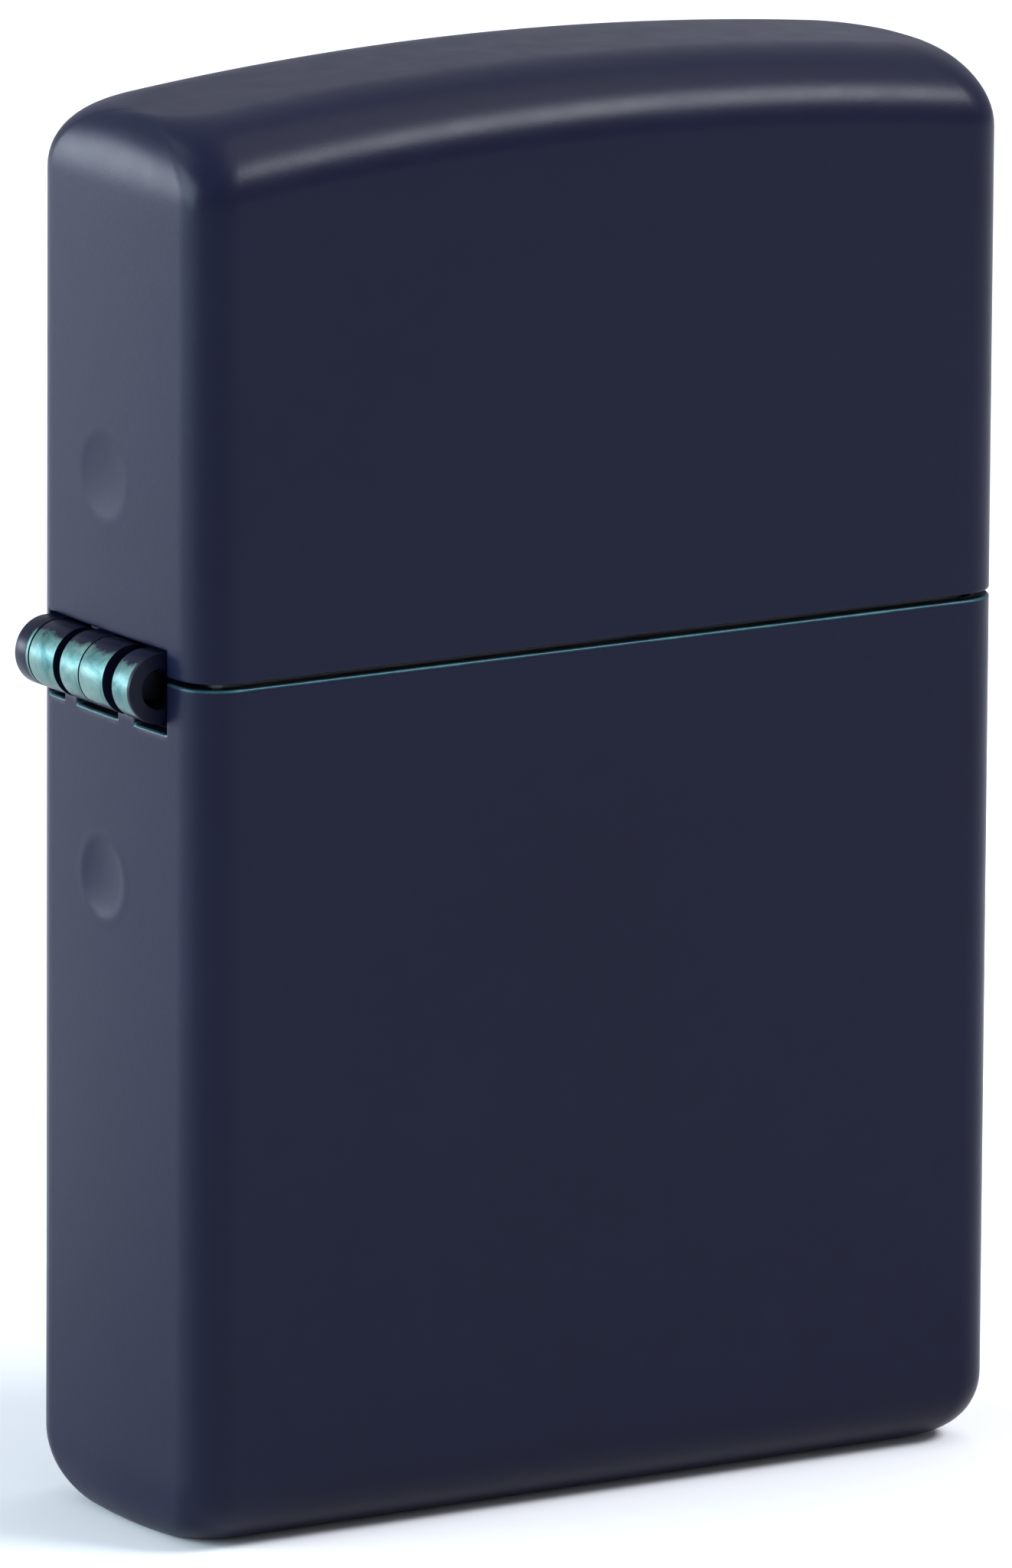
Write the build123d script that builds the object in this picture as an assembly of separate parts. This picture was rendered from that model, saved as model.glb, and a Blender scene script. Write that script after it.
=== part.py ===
from build123d import *
import math
import os

# Windproof petrol lighter, closed. A drawn brass case in two halves joined by a
# five-knuckle hinge on the -X side, with a stainless insert inside that carries
# the chimney, spark wheel, flint tube, wick, packing and lid cam.
#
# Frame: millimetres, origin at the centre of the flat base, +Z up,
# -Y is the front face, -X is the hinge side, +X is the thumb (wheel) side.

# ---------------------------------------------------------------- case
CASE_W = 37.0            # X, outside, without the hinge barrel
CASE_T = 12.9            # Y, outside
CASE_H = 57.1            # Z, to the crown of the lid
CROWN = 1.27             # rise of the arched top over the half width
WALL = 0.7               # drawn brass sheet
R_BASE = 3.2             # corner radius of the base, seen from the front
R_TOP = 3.0              # corner radius of the lid, seen from the front
R_EDGE = 2.0             # rolled edge between broad faces and narrow sides
SEAM_Z = 34.5            # split between the two halves
SEAM_GAP = 0.2
# spot-weld dimples on the hinge side
DIMPLE_Y = 0.65
DIMPLE_Z_LID = 41.6
DIMPLE_Z_BASE = 25.8
DIMPLE_DEPTH = 0.12
DIMPLE_BALL = 9.0

# ---------------------------------------------------------------- hinge
HINGE_X = -18.7
HINGE_Y = 0.59           # middle of the barrel, a little behind the middle of the case
HINGE_Z = 34.13
BARREL_R = 1.38
PIN_R = 0.72
PIN_L = 7.2
LEAF = 0.6               # leaf sheet
BORE_FIXED = 0.74        # knuckles that grip the pin side
BORE_FREE = 0.77         # knuckles that turn on the pin
LID_KNUCKLES = [(3.95, 4.95), (0.13, 1.53), (-3.77, -2.43)]
BASE_KNUCKLES = [(2.03, 3.85), (-1.72, 0.04)]
BASE_NECKS = [(2.80, 3.68), (-1.60, -0.48)]
WINDOW_Y0, WINDOW_Y1 = -3.95, 5.05
LID_WINDOW_TOP = 35.62
BASE_WINDOW_LOW = 32.7
NOTCH_LOW = 32.35
NOTCHES = [(3.75, 5.05), (-0.40, 2.72), (-3.95, -1.68)]
LID_PLATE_TOP = 43.6
BASE_PLATE_LOW = 24.0
PLATE_Y0, PLATE_Y1 = -3.7, 4.4
TONGUE_END = -16.0       # little tongue on the lid leaf that the cam pushes
TONGUE_Z0, TONGUE_Z1 = 36.1, 36.6
TONGUE_HALF_Y = 1.5

# ---------------------------------------------------------------- insert
INS_X0, INS_X1 = -17.0, 17.55
INS_HALF_T = 5.6
INS_R = 1.3
INS_SHEET = 0.4
INS_Z0 = 2.3             # lower rim of the tank
TANK_TOP = 35.3
DECK_TOP = 35.7
CHIM_SHEET = 0.5
CHIM_TOP = 50.2
CHIM_X0 = -7.9
CHIM_X1 = 6.9            # right edge of the perforated screen
CHIM_HALF_T = 5.25
CHEEK_HALF_T = 3.5
CHEEK_X1 = 14.2
HOLE_R = 1.15
HOLE_ROWS = [(47.5, (-5.2, -0.9, 3.4)), (44.5, (-3.05, 1.25)), (41.5, (-5.2, -0.9, 3.4))]

# wheel, flint and their feed
WHEEL_X, WHEEL_Z = 11.7, 42.6
WHEEL_R = 3.25
WHEEL_ROOT = 2.98
WHEEL_TEETH = 36
WHEEL_HALF_W = 2.7
WHEEL_BORE = 1.05
RIVET_R = 1.0
RIVET_HOLE = 0.55
TUBE_R, TUBE_BORE = 1.9, 1.3
TUBE_Z0, TUBE_Z1 = 4.2, 38.4
FLINT_R = 1.2
FLINT_Z0, FLINT_Z1 = 34.2, 39.3
SCREW_HEAD_R = 3.1
COIL_R, WIRE_R = 0.95, 0.15
COIL_Z0, COIL_Z1 = 9.3, 31.6
COIL_PITCH = 1.15

# wick
WICK_X = 2.0
WICK_R = 1.45
WICK_Z0, WICK_Z1 = 12.0, 46.3

# lid cam
CAM_X, CAM_Z = -11.2, 39.6
CAM_HALF_W = 1.6
CAM_BORE = 0.80
CAM_PIN_R = 0.75
CAM_FLAT = 2.9           # pivot to each flat
CAM_TURN = 55.0          # angle between the two flats
EAR_IN, EAR_OUT = 1.9, 2.4
SPRING_TOP = 36.65
SPRING_T = 0.35
SPRING_HALF_W = 1.7
SPRING_X0 = -15.6
SPRING_FOOT_X = -4.6
SPRING_FOOT_Z = 31.5

os.makedirs("parts", exist_ok=True)


def box(x0, x1, y0, y1, z0, z1):
    return Pos((x0 + x1) / 2, (y0 + y1) / 2, (z0 + z1) / 2) * Box(x1 - x0, y1 - y0, z1 - z0)


def cyl_y(x, z, r, y0, y1):
    """Cylinder along Y."""
    return Pos(x, (y0 + y1) / 2, z) * (Rot(90, 0, 0) * Cylinder(r, y1 - y0))


def cyl_z(x, y, r, z0, z1):
    return Pos(x, y, (z0 + z1) / 2) * Cylinder(r, z1 - z0)


def plan(x0, x1, half_t, r, z0, z1):
    """Rounded rectangle in plan, extruded from z0 to z1."""
    s = Pos((x0 + x1) / 2, 0, z0) * RectangleRounded(x1 - x0, 2 * half_t, r)
    return extrude(s, z1 - z0)


def save(shape, name):
    export_step(shape, f"parts/{name}.step")


# ---------------------------------------------------------------- case halves
def case_body(inset):
    """The closed case as one rounded solid, shrunk by inset on every side."""
    w = CASE_W / 2 - inset
    rb, rt, re = R_BASE - inset, R_TOP - inset, R_EDGE - inset
    big = ((CASE_W / 2) ** 2 + CROWN ** 2) / (2 * CROWN)
    zc = CASE_H - big
    rc = big - inset
    cx = w - rt
    cz = zc + math.sqrt((rc - rt) ** 2 - cx ** 2)
    a = math.atan2(cz - zc, cx)
    tx, tz = cx + rt * math.cos(a), cz + rt * math.sin(a)
    am = a / 2
    mx, mz = cx + rt * math.cos(am), cz + rt * math.sin(am)
    q = math.sqrt(0.5)
    z0 = inset
    face = make_face([
        Line((-w + rb, z0), (w - rb, z0)),
        ThreePointArc((w - rb, z0), (w - rb + rb * q, z0 + rb - rb * q), (w, z0 + rb)),
        Line((w, z0 + rb), (w, cz)),
        ThreePointArc((w, cz), (mx, mz), (tx, tz)),
        ThreePointArc((tx, tz), (0, zc + rc), (-tx, tz)),
        ThreePointArc((-tx, tz), (-mx, mz), (-w, cz)),
        Line((-w, cz), (-w, z0 + rb)),
        ThreePointArc((-w, z0 + rb), (-w + rb - rb * q, z0 + rb - rb * q), (-w + rb, z0)),
    ])
    half_t = CASE_T / 2 - inset
    solid = extrude(Plane.XZ * face, amount=half_t, both=True)
    ends = solid.faces().filter_by(Axis.Y)
    return fillet([e for f in ends for e in f.edges()], re)


outer = case_body(0.0)
inner = case_body(WALL)
shell = outer - inner

base_rim = SEAM_Z - SEAM_GAP / 2
lid_rim = SEAM_Z + SEAM_GAP / 2
w = CASE_W / 2

case_bottom = shell & box(-30, 30, -20, 20, -1, base_rim)
case_bottom -= box(-w - 1, -w + WALL + 0.3, WINDOW_Y0, WINDOW_Y1, BASE_WINDOW_LOW, base_rim + 1)
for y0, y1 in NOTCHES:
    case_bottom -= box(-w - 1, -w + WALL + 0.3, y0, y1, NOTCH_LOW, base_rim + 1)
case_bottom -= Pos(-w - DIMPLE_BALL + DIMPLE_DEPTH, DIMPLE_Y, DIMPLE_Z_BASE) * Sphere(DIMPLE_BALL)

case_lid = shell & box(-30, 30, -20, 20, lid_rim, 70)
case_lid -= box(-w - 1, -w + WALL + 0.3, WINDOW_Y0, WINDOW_Y1, lid_rim - 1, LID_WINDOW_TOP)
case_lid -= Pos(-w - DIMPLE_BALL + DIMPLE_DEPTH, DIMPLE_Y, DIMPLE_Z_LID) * Sphere(DIMPLE_BALL)

# ---------------------------------------------------------------- hinge leaves and pin
wall_in = -w + WALL          # inner face of the case wall
plate_in = wall_in + LEAF    # inner face of a hinge leaf


def plate(z0, z1, free_low):
    """Flat of a leaf, with its two far corners rounded."""
    s = box(wall_in, plate_in, PLATE_Y0, PLATE_Y1, z0, z1)
    z_far = z0 if free_low else z1
    far = [e for e in s.edges().filter_by(Axis.X) if abs(e.center().Z - z_far) < 1e-6]
    return fillet(far, 1.2)


# lid leaf: over the top of the barrel, then up inside the lid
leaf_lid = plate(HINGE_Z + BARREL_R - LEAF, LID_PLATE_TOP, False)
for y0, y1 in LID_KNUCKLES:
    leaf_lid += cyl_y(HINGE_X, HINGE_Z, BARREL_R, y0, y1)
    leaf_lid += box(HINGE_X, wall_in, y0, y1, HINGE_Z + BARREL_R - LEAF, HINGE_Z + BARREL_R)
for y0, y1 in LID_KNUCKLES:
    leaf_lid -= cyl_y(HINGE_X, HINGE_Z, BORE_FREE, y0 - 0.01, y1 + 0.01)
# the plate is notched above the fixed knuckles so that it clears them
for y0, y1 in ((1.53, 3.95), (-2.43, 0.13)):
    leaf_lid -= box(wall_in - 0.1, plate_in + 0.1, y0, y1, HINGE_Z, LID_WINDOW_TOP + 0.15)
leaf_lid += box(plate_in, TONGUE_END, -TONGUE_HALF_Y, TONGUE_HALF_Y, TONGUE_Z0, TONGUE_Z1)
leaf_lid -= box(wall_in - 0.1, plate_in + 0.1, -TONGUE_HALF_Y, TONGUE_HALF_Y, TONGUE_Z1, TONGUE_Z1 + 1.3)

# base leaf: under the barrel, then down inside the base
leaf_base = plate(BASE_PLATE_LOW, HINGE_Z - BARREL_R + LEAF, True)
for y0, y1 in BASE_KNUCKLES:
    leaf_base += cyl_y(HINGE_X, HINGE_Z, BARREL_R, y0, y1)
for y0, y1 in BASE_NECKS:
    leaf_base += box(HINGE_X, wall_in, y0, y1, HINGE_Z - BARREL_R, HINGE_Z - BARREL_R + LEAF)
for y0, y1 in BASE_KNUCKLES:
    leaf_base -= cyl_y(HINGE_X, HINGE_Z, BORE_FIXED, y0 - 0.01, y1 + 0.01)
# the plate is cut back beside the necks so that the lid knuckles turn freely
for y0, y1 in ((3.68, 5.0), (-0.48, 2.80), (-4.0, -1.60)):
    leaf_base -= box(wall_in - 0.1, plate_in + 0.1, y0, y1, NOTCH_LOW, HINGE_Z)

hinge_pin = cyl_y(HINGE_X, HINGE_Z, PIN_R, HINGE_Y - PIN_L / 2, HINGE_Y + PIN_L / 2)
hinge_pin = chamfer(hinge_pin.edges().filter_by(GeomType.CIRCLE), 0.15)

# ---------------------------------------------------------------- insert: tank and deck
tank = plan(INS_X0, INS_X1, INS_HALF_T, INS_R, INS_Z0, TANK_TOP)
tank -= plan(INS_X0 + INS_SHEET, INS_X1 - INS_SHEET, INS_HALF_T - INS_SHEET, INS_R - INS_SHEET, INS_Z0 - 1, TANK_TOP + 1)

deck = plan(INS_X0, INS_X1, INS_HALF_T, INS_R, TANK_TOP, DECK_TOP)
deck = fillet([e for e in deck.edges() if abs(e.center().Z - DECK_TOP) < 1e-6], 0.3)
deck -= cyl_z(WHEEL_X, 0, TUBE_R + 0.02, TANK_TOP - 1, DECK_TOP + 1)
deck -= cyl_z(WICK_X, 0, WICK_R + 0.2, TANK_TOP - 1, DECK_TOP + 1)
deck -= box(SPRING_FOOT_X - SPRING_T - 0.1, SPRING_FOOT_X + 0.1, -SPRING_HALF_W - 0.1, SPRING_HALF_W + 0.1,
            TANK_TOP - 1, DECK_TOP + 1)

# ---------------------------------------------------------------- chimney with cheeks and cam ears


def chimney_plan(d, x_end):
    """Plan of the screen wall, inset by d from the outer face."""
    y_out, y_in = CHIM_HALF_T - d, CHEEK_HALF_T - d
    r = 2.5 - d
    x0 = CHIM_X0 + d
    jog = 0.25 * d
    pts = [(x_end, y_in), (9.0 - jog, y_in), (7.6 - jog, y_out), (x0, y_out), (x0, -y_out),
           (7.6 - jog, -y_out), (9.0 - jog, -y_in), (x_end, -y_in)]
    f = make_face(Polyline(*pts, close=True))
    ends = [v for v in f.vertices() if abs(v.X - x0) < 1e-6]
    f = fillet(ends, r)
    jogs = [v for v in f.vertices() if 7.0 < v.X < 9.4]
    return fillet(jogs, 0.7)


screen = extrude(Pos(0, 0, DECK_TOP) * chimney_plan(0.0, CHEEK_X1 + 0.1), CHIM_TOP - DECK_TOP)
screen -= extrude(Pos(0, 0, DECK_TOP - 1) * chimney_plan(CHIM_SHEET, CHEEK_X1 + 2), CHIM_TOP - DECK_TOP + 2)
# front outline: tall screen, then low cheeks that end in a round boss at the axle
tall = make_face(Polyline((CHIM_X0 - 1, DECK_TOP), (CHIM_X1, DECK_TOP), (CHIM_X1, CHIM_TOP), (CHIM_X0 - 1, CHIM_TOP), close=True))
tall = fillet([v for v in tall.vertices() if v.X > 0 and v.Y > 40], 1.0)
low = make_face(Polyline((CHIM_X1 - 1, DECK_TOP), (CHEEK_X1, DECK_TOP), (CHEEK_X1, WHEEL_Z), (WHEEL_X, WHEEL_Z + 2.5),
                         (9.4, WHEEL_Z + 2.5), (CHIM_X1 + 0.3, 47.6), (CHIM_X1 - 1, 47.6), close=True))
low = fillet([v for v in low.vertices() if abs(v.X - 9.4) < 1e-6], 2.0)
low += Pos(WHEEL_X, WHEEL_Z) * Circle(2.5)
outline = extrude(Plane.XZ * tall, amount=8, both=True) + extrude(Plane.XZ * low, amount=8, both=True)
chimney = screen & outline
for z, xs in HOLE_ROWS:
    for x in xs:
        chimney -= cyl_y(x, z, HOLE_R, -8, 8)
chimney -= cyl_y(WHEEL_X, WHEEL_Z, RIVET_R + 0.02, -8, 8)
for s in (-1, 1):
    y0, y1 = sorted((s * EAR_IN, s * EAR_OUT))
    ear = box(CAM_X, CHIM_X0 + 0.2, y0, y1, 37.2, 41.8) + cyl_y(CAM_X, 39.5, 2.3, y0, y1)
    chimney += ear
chimney -= cyl_y(CAM_X, CAM_Z, CAM_PIN_R + 0.02, -3, 3)
chimney -= box(CHIM_X0 - 0.5, CHIM_X0 + 1.0, -SPRING_HALF_W - 0.15, SPRING_HALF_W + 0.15, DECK_TOP - 1, 36.95)

# ---------------------------------------------------------------- spark wheel and its tubular rivet
pts = []
for i in range(WHEEL_TEETH):
    a0 = 2 * math.pi * i / WHEEL_TEETH
    step = 2 * math.pi / WHEEL_TEETH
    # saw teeth: steep on one side, sloping on the other
    pts.append((WHEEL_R * math.cos(a0), WHEEL_R * math.sin(a0)))
    pts.append((WHEEL_ROOT * math.cos(a0 + 0.25 * step), WHEEL_ROOT * math.sin(a0 + 0.25 * step)))
teeth = make_face(Polyline(*pts, close=True))
wheel = Pos(WHEEL_X, 0, WHEEL_Z) * extrude(Plane.XZ * teeth, amount=WHEEL_HALF_W, both=True)
wheel -= cyl_y(WHEEL_X, WHEEL_Z, WHEEL_BORE, -4, 4)

wheel_rivet = cyl_y(WHEEL_X, WHEEL_Z, RIVET_R, -CHEEK_HALF_T, CHEEK_HALF_T)
for s in (-1, 1):
    y0, y1 = sorted((s * CHEEK_HALF_T, s * (CHEEK_HALF_T + 0.4)))
    head = cyl_y(WHEEL_X, WHEEL_Z, 1.6, y0, y1)
    rim = [e for e in head.edges().filter_by(GeomType.CIRCLE) if abs(abs(e.center().Y) - (CHEEK_HALF_T + 0.4)) < 1e-6]
    wheel_rivet += fillet(rim, 0.3)
wheel_rivet -= cyl_y(WHEEL_X, WHEEL_Z, RIVET_HOLE, -5, 5)

# ---------------------------------------------------------------- flint feed
flint_tube = cyl_z(WHEEL_X, 0, TUBE_R, TUBE_Z0, TUBE_Z1) - cyl_z(WHEEL_X, 0, TUBE_BORE, TUBE_Z0 - 1, TUBE_Z1 + 1)
flint = cyl_z(WHEEL_X, 0, FLINT_R, FLINT_Z0, FLINT_Z1)
flint_pusher = cyl_z(WHEEL_X, 0, 1.15, COIL_Z1 + 0.3, FLINT_Z0) + cyl_z(WHEEL_X, 0, 0.7, COIL_Z1 - 1.2, COIL_Z1 + 0.3)
flint_screw = cyl_z(WHEEL_X, 0, SCREW_HEAD_R, 2.6, TUBE_Z0 - 0.05)
flint_screw = fillet([e for e in flint_screw.edges().filter_by(GeomType.CIRCLE) if e.center().Z < 3], 0.35)
flint_screw += cyl_z(WHEEL_X, 0, 1.25, TUBE_Z0 - 0.05, COIL_Z0 - 0.3) + cyl_z(WHEEL_X, 0, 0.7, COIL_Z0 - 0.3, COIL_Z0 + 1.2)
flint_screw -= box(WHEEL_X - 4, WHEEL_X + 4, -0.45, 0.45, 2.0, 3.4)
helix = Helix(pitch=COIL_PITCH, height=COIL_Z1 - COIL_Z0 - 0.1, radius=COIL_R)
wire = Plane(origin=helix @ 0, z_dir=helix % 0) * Circle(WIRE_R)
flint_spring = Pos(WHEEL_X, 0, COIL_Z0 + 0.05) * sweep(wire, path=helix, is_frenet=True)

# ---------------------------------------------------------------- wick, packing, felt
wick = cyl_z(WICK_X, 0, WICK_R, WICK_Z0, WICK_Z1)
wick = fillet([e for e in wick.edges().filter_by(GeomType.CIRCLE) if e.center().Z > 40], 0.5)

puffs = []
n_puff, puff_z0, puff_z1 = 5, 5.1, 34.9
step = (puff_z1 - puff_z0) / n_puff
for i in range(n_puff):
    p = plan(INS_X0 + 0.7, INS_X1 - 0.7, INS_HALF_T - 0.7, 0.9, puff_z0 + i * step + 0.1, puff_z0 + (i + 1) * step - 0.1)
    p = fillet([e for e in p.edges() if abs(e.center().Z - (puff_z0 + i * step + 0.1)) < 1e-6
                or abs(e.center().Z - (puff_z0 + (i + 1) * step - 0.1)) < 1e-6], 0.8)
    p -= cyl_z(WHEEL_X, 0, TUBE_R + 0.1, 0, 40)
    p -= cyl_z(WICK_X, 0, WICK_R + 0.1, WICK_Z0 - 0.1, 40)
    p -= box(SPRING_FOOT_X - SPRING_T - 0.2, SPRING_FOOT_X + 0.2, -SPRING_HALF_W - 0.2, SPRING_HALF_W + 0.2, SPRING_FOOT_Z - 0.3, 40)
    puffs += list(p.solids())
rayon_packing = Compound(children=puffs)

felt_pad = plan(INS_X0 + 0.6, INS_X1 - 0.6, INS_HALF_T - 0.6, 0.9, 2.5, 4.9)
felt_pad = fillet([e for e in felt_pad.edges() if abs(e.center().Z - 2.5) < 1e-6], 0.4)
felt_pad -= cyl_z(WHEEL_X, 0, SCREW_HEAD_R + 0.25, 0, 10)

# ---------------------------------------------------------------- lid cam, its rivet and its leaf spring
# profile about the pivot: arm with a round tip towards the hinge, and two flats
# below, CAM_TURN apart, that rest on the leaf spring in turn
t = math.radians(CAM_TURN)
corner = (CAM_FLAT * math.tan(t / 2), -CAM_FLAT)
flat_b = (corner[0] + 1.9 * math.cos(t), corner[1] + 1.9 * math.sin(t))
arm = make_face(Polyline((-5.2, -2.80), (-1.6, -CAM_FLAT), corner, flat_b, (2.25, 0.5), (0.7, 2.2), (-1.2, 2.0), (-5.55, -1.49), close=True))
cam_face = arm + Circle(2.3) + Pos(-5.2, -2.1) * Circle(0.7)
cam = Pos(CAM_X, 0, CAM_Z) * extrude(Plane.XZ * cam_face, amount=CAM_HALF_W, both=True)
cam -= cyl_y(CAM_X, CAM_Z, CAM_BORE, -3, 3)

cam_rivet = cyl_y(CAM_X, CAM_Z, CAM_PIN_R, -EAR_OUT, EAR_OUT)
for s in (-1, 1):
    y0, y1 = sorted((s * EAR_OUT, s * (EAR_OUT + 0.35)))
    head = cyl_y(CAM_X, CAM_Z, 1.25, y0, y1)
    rim = [e for e in head.edges().filter_by(GeomType.CIRCLE) if abs(abs(e.center().Y) - (EAR_OUT + 0.35)) < 1e-6]
    cam_rivet += fillet(rim, 0.25)

strip = make_face([
    Line((SPRING_X0, SPRING_TOP - SPRING_T), (SPRING_FOOT_X - 1.35, SPRING_TOP - SPRING_T)),
    ThreePointArc((SPRING_FOOT_X - 1.35, SPRING_TOP - SPRING_T),
                  (SPRING_FOOT_X - 1.35 + math.sqrt(0.5), SPRING_TOP - SPRING_T - 1 + math.sqrt(0.5)),
                  (SPRING_FOOT_X - SPRING_T, SPRING_TOP - SPRING_T - 1.0)),
    Line((SPRING_FOOT_X - SPRING_T, SPRING_TOP - SPRING_T - 1.0), (SPRING_FOOT_X - SPRING_T, SPRING_FOOT_Z)),
    Line((SPRING_FOOT_X - SPRING_T, SPRING_FOOT_Z), (SPRING_FOOT_X, SPRING_FOOT_Z)),
    Line((SPRING_FOOT_X, SPRING_FOOT_Z), (SPRING_FOOT_X, SPRING_TOP - 1.35)),
    ThreePointArc((SPRING_FOOT_X, SPRING_TOP - 1.35),
                  (SPRING_FOOT_X - 1.35 + 1.35 * math.sqrt(0.5), SPRING_TOP - 1.35 + 1.35 * math.sqrt(0.5)),
                  (SPRING_FOOT_X - 1.35, SPRING_TOP)),
    Line((SPRING_FOOT_X - 1.35, SPRING_TOP), (SPRING_X0, SPRING_TOP)),
    Line((SPRING_X0, SPRING_TOP), (SPRING_X0, SPRING_TOP - SPRING_T)),
])
cam_spring = extrude(Plane.XZ * strip, amount=SPRING_HALF_W, both=True)

# ---------------------------------------------------------------- write
parts = {
    "case_bottom": case_bottom,
    "case_lid": case_lid,
    "hinge_leaf_lid": leaf_lid,
    "hinge_leaf_bottom": leaf_base,
    "hinge_pin": hinge_pin,
    "insert_tank": tank,
    "insert_deck": deck,
    "chimney": chimney,
    "spark_wheel": wheel,
    "wheel_rivet": wheel_rivet,
    "flint_tube": flint_tube,
    "flint": flint,
    "flint_pusher": flint_pusher,
    "flint_spring": flint_spring,
    "flint_screw": flint_screw,
    "wick": wick,
    "rayon_packing": rayon_packing,
    "felt_pad": felt_pad,
    "cam": cam,
    "cam_rivet": cam_rivet,
    "cam_spring": cam_spring,
}
for name, shape in parts.items():
    solids = shape.solids()
    print(name, "solids", len(solids), "volume", round(sum(s.volume for s in solids), 2))
    save(solids[0] if len(solids) == 1 else Compound(children=list(solids)), name)
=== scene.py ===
# Windproof flip-top petrol lighter, closed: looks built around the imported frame.
import math
import random

import bmesh
import bpy
from mathutils import Matrix, Vector, noise


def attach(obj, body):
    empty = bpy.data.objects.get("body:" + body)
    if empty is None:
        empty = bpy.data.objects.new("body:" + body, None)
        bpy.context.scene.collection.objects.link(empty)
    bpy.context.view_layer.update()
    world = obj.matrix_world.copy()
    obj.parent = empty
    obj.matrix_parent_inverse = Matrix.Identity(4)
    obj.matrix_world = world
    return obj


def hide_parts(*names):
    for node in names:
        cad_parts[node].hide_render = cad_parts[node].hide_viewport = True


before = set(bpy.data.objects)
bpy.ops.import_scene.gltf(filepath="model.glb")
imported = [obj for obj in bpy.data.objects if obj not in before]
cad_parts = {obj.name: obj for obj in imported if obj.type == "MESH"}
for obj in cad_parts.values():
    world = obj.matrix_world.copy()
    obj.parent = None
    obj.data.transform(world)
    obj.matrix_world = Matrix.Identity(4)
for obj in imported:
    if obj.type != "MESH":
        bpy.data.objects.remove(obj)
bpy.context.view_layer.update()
random.seed(7)
MM = 0.001
scene = bpy.context.scene

# ------------------------------------------------------------------ sizes, mm
W2, T2, H, CROWN = 18.5, 6.45, 57.1, 1.25
RV = 1.76                       # upright edges
BX, BY, BZ, BR = 1.20, 3.00, 2.86, 2.2    # rounding into the base: inset in x, in y, height, plan radius at its end
TX, TY, TZ, TR = 1.20, 4.00, 2.80, 2.4    # rounding into the crown
WALL = 0.7
BULGE = 0.12                     # the hinge side is pressed out a little
RIM_BASE, RIM_LID = 34.38, 34.60
HX, HZ, BARREL_R = -18.7, 34.13, 1.38
WIN_Y0, WIN_Y1, LID_WIN, BASE_WIN, NOTCH = -3.95, 5.05, 35.62, 32.7, 32.35
NOTCHES = [(3.75, 5.05), (-0.40, 2.72), (-3.95, -1.68)]
DENTS = [(0.70, 41.7, 0.08, 1.60, 0.9), (0.70, 25.8, 0.12, 1.55, 0.35)]  # y, z, depth, radius, softness


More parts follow.
